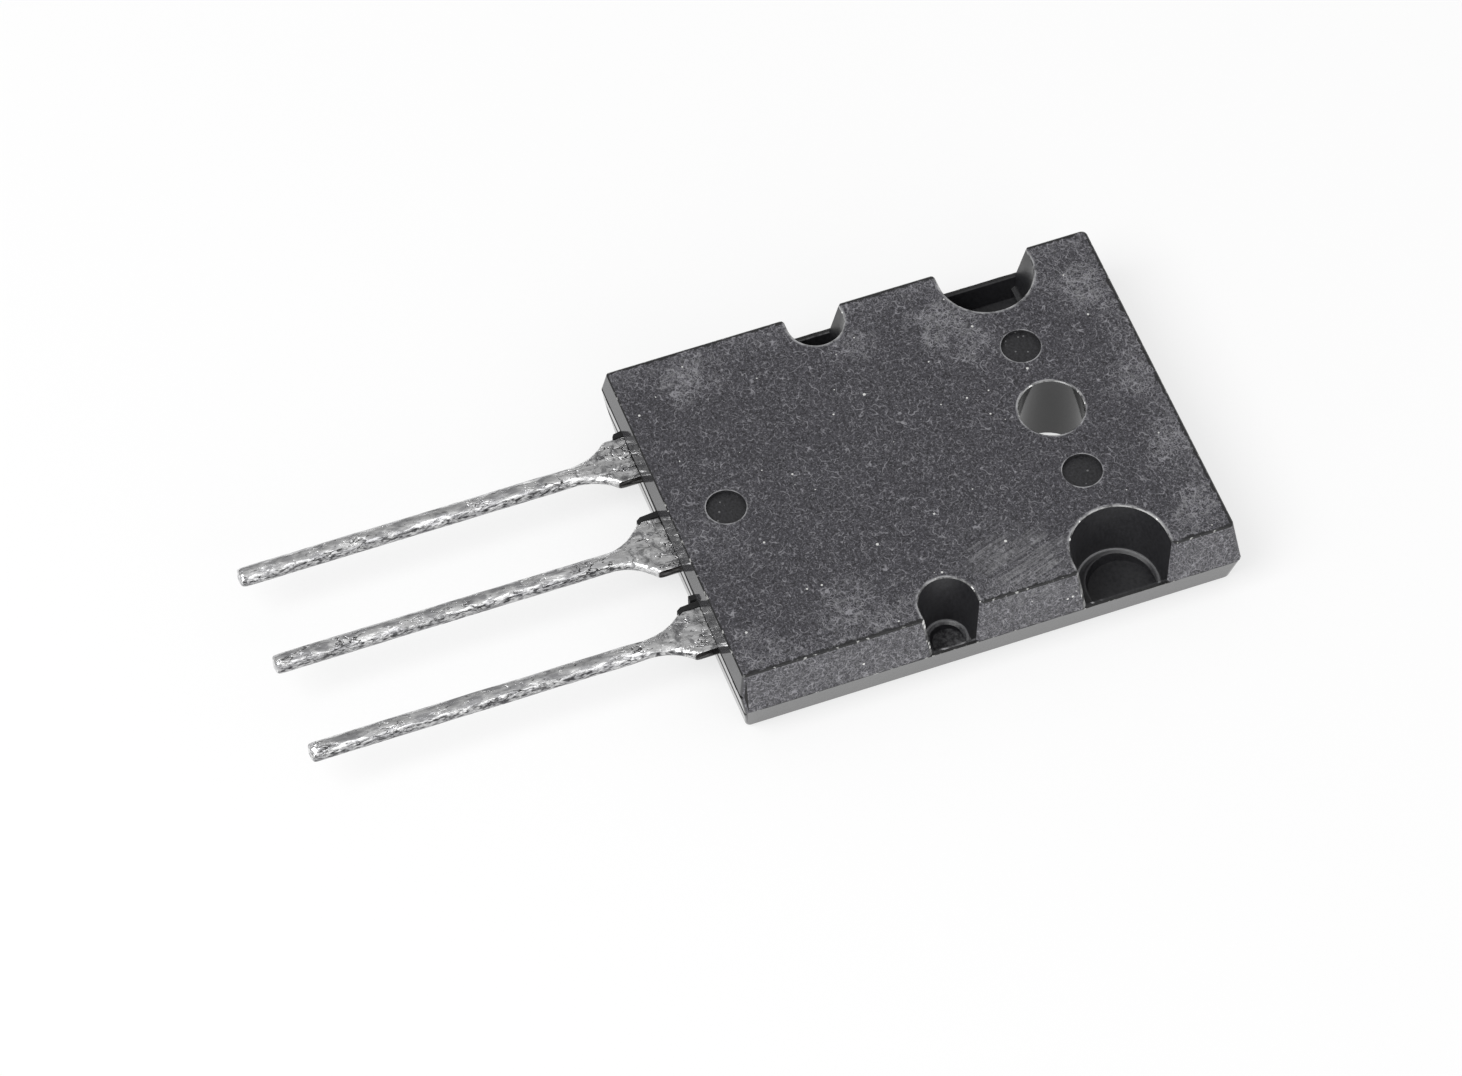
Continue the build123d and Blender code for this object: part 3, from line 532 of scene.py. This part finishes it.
# Floors of the pin marks: satin black pressed by the ejector pins' ends, with fine pale dust.
pressed, t, shader, mm, grain, colour, dull = epoxy(
    "pressed_black_epoxy", "0C0C0E", "323235", 0.35, 0.5, 0.13)
dust = specks(t, mm, 4.0, 0.5, 0.06)
colour = add(t, "ShaderNodeMix", {0: dust, 6: colour, 7: linear("6C6C6D")}, data_type="RGBA")
surface(t, shader, colour, dull, grain, 0.012)

# Broken edges: a thin black line where the matt skin is rubbed through, chipped here and there
# to pale filler.
edged, t, shader, mm, grain, colour, dull = epoxy("rubbed_edge_epoxy", "0C0C0D", "1E1E1F", 0.3, 0.45, 0.3)
chip = add(t, "ShaderNodeTexNoise", {"Vector": mm, "Scale": 3.4, "Detail": 3.0})
chip = add(t, "ShaderNodeMapRange", {0: chip, 1: 0.6, 2: 0.66})
colour = add(t, "ShaderNodeMix", {0: chip, 6: colour, 7: linear("A5A5A3")}, data_type="RGBA")
surface(t, shader, colour, dull, grain, 0.01)

# Rims of the hole, notches and pin marks: a thin pale line, partly burnish and partly a painted highlight,
# dull where it is worn, with painted white glints here and there.
rim_highlight, t, shader, mm, grain, colour, dull = epoxy("burnished_rim_epoxy", "2C2C2D", "4C4C4D", 0.22, 0.36, 0.3)
bare = add(t, "ShaderNodeTexNoise", {"Vector": mm, "Scale": 1.2, "Detail": 4.0, "Roughness": 0.6})
bare = add(t, "ShaderNodeMapRange", {0: bare, 1: 0.4, 2: 0.58})
colour = add(t, "ShaderNodeMix", {0: bare, 6: colour, 7: linear("A8A8A8")}, data_type="RGBA")
painted_glint = specks(t, mm, 3.0, 0.8, 0.12)
colour = add(t, "ShaderNodeMix", {0: painted_glint, 6: colour, 7: linear("F4F4F2")}, data_type="RGBA")
surface(t, shader, colour, dull, grain, 0.01)

EPOXY = [eroded, polished, torn_and_shaded, deep, pressed, edged, rim_highlight]


def slot_distance(x, y, notch):
    """Distance from a notch's wall in plan, negative inside it; a notch is a slot with one round end."""
    cx, cy, r = notch
    return math.hypot(min(abs(x) - cx, 0), y - cy) - r


def epoxy_of(centre, normal):
    """Which finish a facet has, from where it lies on the body."""
    x, y, z = centre
    if z < parting_z:
        outer = side_x - lower_lean * (parting_z - z) / parting_z
    else:
        outer = side_x - upper_lean * (z - parting_z)
    edge = 0.16           # how far a broken or eased edge reaches, mm
    near = 0.01           # how close counts as on a surface, mm
    side_skin = 0.12      # a notch has its own finish only deeper than this in the long side, mm
    in_notch = min(slot_distance(x, y, big_notch), slot_distance(x, y, small_notch)) < edge + near
    from_hole = math.hypot(x, y) - hole_r
    from_mark = min(math.hypot(x - px, y - py) for px, py in pin_marks) - mark_r
    if z > face_z - near and normal.z > 0.9:
        return eroded
    if z > face_z - edge and 0.3 < normal.z < 0.9:
        return rim_highlight if in_notch or from_hole < 0.1 or from_mark < 0.1 else edged
    if from_hole < hole_flare + 0.1:
        return polished
    if z > face_z - mark_depth - 2 * near and from_mark < 0.1:
        return pressed
    # eased mouths of the notches: those that face the hole end take the painted rim highlight
    if in_notch and z > parting_z and abs(x) > outer - edge and 0.3 < abs(normal.y) < 0.95:
        return rim_highlight if normal.y > 0 else eroded
    if in_notch and abs(x) < outer - side_skin:
        return deep
    # sunk in the lead end round the seam, or out on the fins beyond it
    in_seam = body_end + 0.02 < y < body_end + 0.5 and seam_z - 0.25 < z < seam_z + 0.09
    if in_seam or y < body_end - near:
        return torn_and_shaded
    on_lead_end = normal.y < -0.5 and y < body_end + 1
    if on_lead_end or z < parting_z + near:
        return polished
    return eroded


mesh = merged_copy("moulded_body")
mesh.shade_smooth()
mesh.set_sharp_from_angle(angle=math.radians(24))
for material in EPOXY:
    mesh.materials.append(material)
# the screw hole's wall leans out a little towards the back, as its core pin was tapered
for vertex in mesh.vertices:
    from_axis = math.hypot(vertex.co.x, vertex.co.y) * 1000
    if abs(from_axis - hole_r) < 0.02 and vertex.co.z * 1000 < 0.3:
        vertex.co.xy *= (hole_r + hole_flare) / hole_r
for facet in mesh.polygons:
    facet.material_index = EPOXY.index(epoxy_of(facet.center * 1000, facet.normal))
body = bpy.data.objects.new("epoxy_body", mesh)
bpy.context.scene.collection.objects.link(body)
flat = body.modifiers.new("flat faces stay flat", "WEIGHTED_NORMAL")
flat.keep_sharp = True
flat.weight = 80
settle(body)
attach(body, "root")
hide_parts("moulded_body")

# ---------------------------------------------------------------------------
# Mould flash: a ragged hair of resin that squeezed out where the two halves of
# the tool met, left along both long sides and the hole end after deburring.
# ---------------------------------------------------------------------------
numbers = ("Thickness", "Ragged Length", "Seed")
inputs = [("Seam", "Geometry"), *((label, "Float") for label in numbers), ("Resin", "Material")]
flash_tree = geometry_tree("mould_flash", inputs, "Flash")
given = add(flash_tree, "NodeGroupInput").outputs
line = add(flash_tree, "GeometryNodeMeshToCurve", {0: given["Seam"]})
step = add(flash_tree, "ShaderNodeMath", {0: given["Ragged Length"], 1: 0.5}, operation="MULTIPLY")
line = add(flash_tree, "GeometryNodeResampleCurve", {"Curve": line, "Length": step}, mode="LENGTH")
per_mm = add(flash_tree, "ShaderNodeMath", {0: 1.0, 1: given["Ragged Length"]}, operation="DIVIDE")
links = {"Vector": add(flash_tree, "GeometryNodeInputPosition"), "W": given["Seed"], "Scale": per_mm}
ragged = add(flash_tree, "ShaderNodeTexNoise", links, noise_dimensions="4D")
ragged = add(flash_tree, "ShaderNodeMapRange", {0: ragged, 1: 0.35, 2: 0.75, 3: 0.25, 4: 1.0})
half = add(flash_tree, "ShaderNodeMath", {0: given["Thickness"], 1: 0.5}, operation="MULTIPLY")
radius = add(flash_tree, "ShaderNodeMath", {0: ragged, 1: half}, operation="MULTIPLY")
ring = add(flash_tree, "GeometryNodeCurvePrimitiveCircle", {"Resolution": 6, "Radius": 1.0})
bead = add(flash_tree, "GeometryNodeCurveToMesh", {0: line, 1: ring, "Scale": radius, "Fill Caps": True})
whole = add(flash_tree, "GeometryNodeRealizeInstances", {0: bead})
coated = add(flash_tree, "GeometryNodeSetMaterial", {"Geometry": whole, "Material": given["Resin"]})
add(flash_tree, "NodeGroupOutput", {0: coated})

# up one long side, round the two corners of the hole end in steps of 15 degrees, and down the other
corner_r = 0.35
flash_end = body_end + 0.7          # it stops short of the lead end
seam = [(-side_x, flash_end, parting_z)]
for side, first in ((-1, 180), (1, 90)):
    for k in range(7):
        turn = math.radians(first - 15 * k)
        x = side * (side_x - corner_r) + corner_r * math.cos(turn)
        y = tab_end_y - corner_r + corner_r * math.sin(turn)
        seam.append((x, y, parting_z))
seam.append((side_x, flash_end, parting_z))
mesh = bpy.data.meshes.new("seam")
mesh.from_pydata(seam, [(k, k + 1) for k in range(len(seam) - 1)], [])
flash = bpy.data.objects.new("mould_flash", mesh)
bpy.context.scene.collection.objects.link(flash)
fin = flash.modifiers.new("flash", "NODES")
fin.node_group = flash_tree
set_inputs(fin, Thickness=0.055, Ragged_Length=0.4, Seed=5.0, Resin=edged)
settle(flash, 0.001)
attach(flash, "root")

# ---------------------------------------------------------------------------
# Studio: white table, uneven grey surroundings that are lighter beyond the
# emitter side, a soft lamp over the leads, and a larger, weaker one on the right.
# ---------------------------------------------------------------------------
wide, low = 2, -0.00002             # metres: half the table, and its top, just clear of the part's back
table = bpy.data.meshes.new("table")
corners = [(-wide, -wide, low), (wide, -wide, low), (wide, wide, low), (-wide, wide, low)]
table.from_pydata(corners, [], [(0, 1, 2, 3)])
floor = bpy.data.objects.new("table", table)
bpy.context.scene.collection.objects.link(floor)
white, t, shader = finish("white_card", Base_Color=linear("F8F8F8"), Roughness=0.9)
path = add(t, "ShaderNodeLightPath")
# the table looks white to the camera and in reflections, and still keeps the part's shadow
links = {0: path.outputs["Is Camera Ray"], 1: path.outputs["Is Glossy Ray"]}
seen = add(t, "ShaderNodeMath", links, operation="MAXIMUM")
seen = add(t, "ShaderNodeMath", {0: seen, 1: path.outputs["Is Transmission Ray"]}, operation="MAXIMUM")
share = add(t, "ShaderNodeMath", {0: seen, 1: 0.7}, operation="MULTIPLY")
glow = add(t, "ShaderNodeEmission", {"Color": (1, 1, 1, 1), "Strength": 1.0})
blend = add(t, "ShaderNodeMixShader", {0: share, 1: shader, 2: glow})
t.links.new(blend.outputs[0], t.nodes["Material Output"].inputs["Surface"])
table.materials.append(white)

world = bpy.data.worlds.new("studio")
bpy.context.scene.world = world
world.use_nodes = True
t = world.node_tree
way = add(t, "ShaderNodeTexCoord").outputs["Generated"]
up = add(t, "ShaderNodeSeparateXYZ", {0: way}).outputs["Z"]
room = add(t, "ShaderNodeMapRange", {0: up, 2: 0.9, 3: 0.45, 4: 0.5})
uneven = add(t, "ShaderNodeTexNoise", {"Vector": way, "Scale": 1.6, "Detail": 1.0})
uneven = add(t, "ShaderNodeMapRange", {0: uneven, 1: 0.35, 2: 0.65, 3: 0.8, 4: 1.2})
room = add(t, "ShaderNodeMath", {0: room, 1: uneven}, operation="MULTIPLY")
lighter = add(t, "ShaderNodeSeparateXYZ", {0: way}).outputs["X"]
lighter = add(t, "ShaderNodeMapRange", {0: lighter, 1: -0.5, 2: 0.4, 3: 0.82, 4: 1.4})
room = add(t, "ShaderNodeMath", {0: room, 1: lighter}, operation="MULTIPLY")
t.nodes["Background"].inputs["Color"].default_value = (1, 1, 1, 1)
t.links.new(room.outputs[0], t.nodes["Background"].inputs["Strength"])

middle = Vector((0, -0.012, 0))     # middle of the part, at which the lamps point
lamps = (("overhead_softbox", (0.10, -0.30, 0.42), 0.30, 1.65), ("right_fill", (0.62, 0.16, 0.20), 0.50, 1.0))
for name, place, width, power in lamps:
    lamp = bpy.data.lights.new(name, "AREA")
    lamp.size = width
    lamp.energy = power
    held = bpy.data.objects.new(name, lamp)
    bpy.context.scene.collection.objects.link(held)
    held.location = place
    held.rotation_euler = (middle - Vector(place)).to_track_quat("-Z", "Y").to_euler()

# a long lens that looks down over the emitter side, with the leads on the left
azimuth, height, roll = (math.radians(angle) for angle in (69.893, 54.702, -0.359))
out = math.cos(height)
back = Vector((math.sin(azimuth) * out, -math.cos(azimuth) * out, math.sin(height)))
right = Vector((0, 0, 1)).cross(back).normalized()
up = back.cross(right)
across = right * math.cos(roll) + up * math.sin(roll)
upright = up * math.cos(roll) - right * math.sin(roll)
lens = bpy.data.cameras.new("camera")
lens.sensor_width = 36
lens.lens = 174.15
lens.clip_start = 0.01
camera = bpy.data.objects.new("camera", lens)
bpy.context.scene.collection.objects.link(camera)
stand = Matrix((across, upright, back)).transposed().to_4x4()
stand.translation = Vector((0.188164, -0.085715, 0.285084))
camera.matrix_world = stand
bpy.context.scene.camera = camera
bpy.context.scene.view_settings.view_transform = "Standard"
